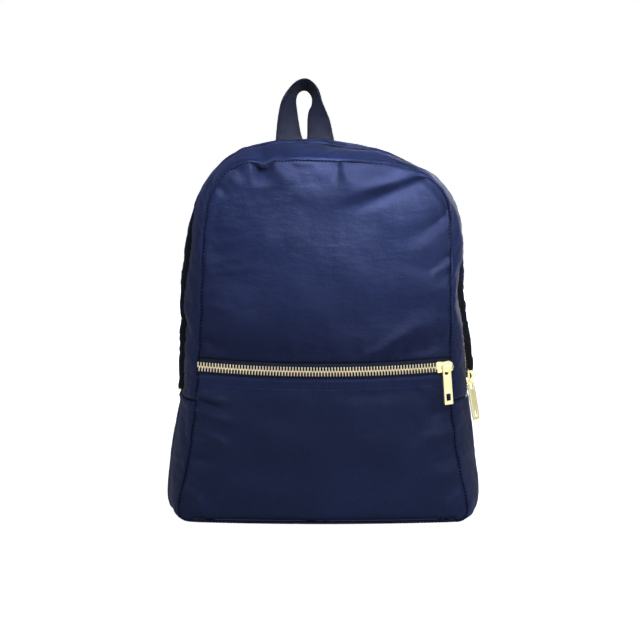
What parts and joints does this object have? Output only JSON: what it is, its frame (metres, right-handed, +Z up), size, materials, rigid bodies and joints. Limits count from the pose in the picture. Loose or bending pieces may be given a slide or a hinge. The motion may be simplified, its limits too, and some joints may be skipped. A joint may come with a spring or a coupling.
{
  "type": "school backpack",
  "caption": "Small zipped school backpack with an arched top, a front zip pocket, a webbing grab handle and two padded shoulder straps.",
  "frame": {"origin": "middle of the flat base on the floor plane, half way between the front and back side seams", "axes": "+Z up along the bag's height, the front with the pocket faces -Y, +X to the right when the front is looked at"},
  "size_m": [0.3138, 0.1749, 0.4318],
  "materials": {
    "shell_cloth": "satin",
    "lining_cloth": "matte",
    "webbing": "matte",
    "zip_tape": "matte",
    "foam": "matte",
    "gold": "polished",
    "plastic": "matte"
  },
  "bodies": {
    "bag": {"pocket_panel": "shell_cloth", "front_panel_lower_edge": "shell_cloth", "front_zip_strip_ends": "shell_cloth", "rear_zip_strip": "shell_cloth", "bottom_gusset": "shell_cloth", "back_panel": "shell_cloth", "back_foam_pad": "foam", "back_lining": "lining_cloth", "rear_strip_lining": "lining_cloth", "bottom_gusset_lining": "lining_cloth", "pocket_back_wall": "lining_cloth", "back_seam_binding": "lining_cloth", "main_zip_tape_front_ends": "zip_tape", "main_zip_tape_rear": "zip_tape", "main_zip_teeth_front_ends": "gold", "main_zip_teeth_rear": "gold", "pocket_zip_tape_upper": "zip_tape", "pocket_zip_tape_lower": "zip_tape", "pocket_zip_teeth_upper": "gold", "pocket_zip_teeth_lower": "gold", "main_zip_stop": "gold", "grab_handle_anchor": "webbing", "strap_yoke": "shell_cloth", "left_strap_root": "shell_cloth", "right_strap_root": "shell_cloth", "left_strap_lower_tab": "shell_cloth", "right_strap_lower_tab": "shell_cloth"},
    "flap": {"front_panel_upper": "shell_cloth", "front_zip_strip": "shell_cloth", "front_strip_lining": "lining_cloth", "front_panel_lining": "lining_cloth", "main_zip_tape_front": "zip_tape", "main_zip_teeth_front": "gold"},
    "pocket_zip_slider": {"pocket_slider": "gold"},
    "pocket_zip_tab": {"pocket_zip_pull": "gold"},
    "main_zip_slider": {"main_slider": "gold"},
    "main_zip_tab": {"main_zip_pull": "gold"},
    "handle": {"grab_handle": "webbing"},
    "left_strap": {"left_strap_cover": "shell_cloth", "left_strap_foam": "foam", "left_strap_lining": "lining_cloth", "left_strap_webbing": "webbing"},
    "right_strap": {"right_strap_cover": "shell_cloth", "right_strap_foam": "foam", "right_strap_lining": "lining_cloth", "right_strap_webbing": "webbing"},
    "left_slide": {"left_strap_slide": "plastic"},
    "right_slide": {"right_strap_slide": "plastic"}
  },
  "joints": [
    {"name": "front_panel_fold", "type": "hinge", "parent": "bag", "child": "flap", "pos_m": [0, -0.0705, 0.166], "axis": [1, 0, 0], "range_deg": [0, 40]},
    {"name": "pocket_zip_run", "type": "hinge", "parent": "bag", "child": "pocket_zip_slider", "pos_m": [0, 0.4364, 0.27661], "axis": [0, -0.2419, 0.9703], "range_deg": [-24.8, 0]},
    {"name": "pocket_pull_swing", "type": "hinge", "parent": "pocket_zip_slider", "child": "pocket_zip_tab", "pos_m": [0.1178, -0.06176, 0.154], "axis": [0.2057, -0.9769, 0.0578], "range_deg": [-40, 80]},
    {"name": "main_zip_run", "type": "slide", "parent": "bag", "child": "main_zip_slider", "axis": [-0.0404, 0, 0.9992], "range_m": [0, 0.11]},
    {"name": "main_pull_flip", "type": "hinge", "parent": "main_zip_slider", "child": "main_zip_tab", "pos_m": [0.14716, 0, 0.13445], "axis": [0, -1, 0], "range_deg": [-10, 140]},
    {"name": "handle_tilt", "type": "hinge", "parent": "bag", "child": "handle", "pos_m": [-0.018, 0.0582, 0.365], "axis": [1, 0, 0], "range_deg": [-70, 60]},
    {"name": "left_strap_swing", "type": "hinge", "parent": "bag", "child": "left_strap", "pos_m": [-0.042, 0.0611, 0.322], "axis": [-0.2605, 0, -0.9655], "range_deg": [-28, 28]},
    {"name": "right_strap_swing", "type": "hinge", "parent": "bag", "child": "right_strap", "pos_m": [0.042, 0.0611, 0.322], "axis": [0.2605, 0, -0.9655], "range_deg": [-28, 28]},
    {"name": "left_strap_adjust", "type": "slide", "parent": "left_strap", "child": "left_slide", "axis": [-0.2535, -0.2293, -0.9398], "range_m": [-0.018, 0.03]},
    {"name": "right_strap_adjust", "type": "slide", "parent": "right_strap", "child": "right_slide", "axis": [0.2535, -0.2293, -0.9398], "range_m": [-0.018, 0.03]}
  ]
}
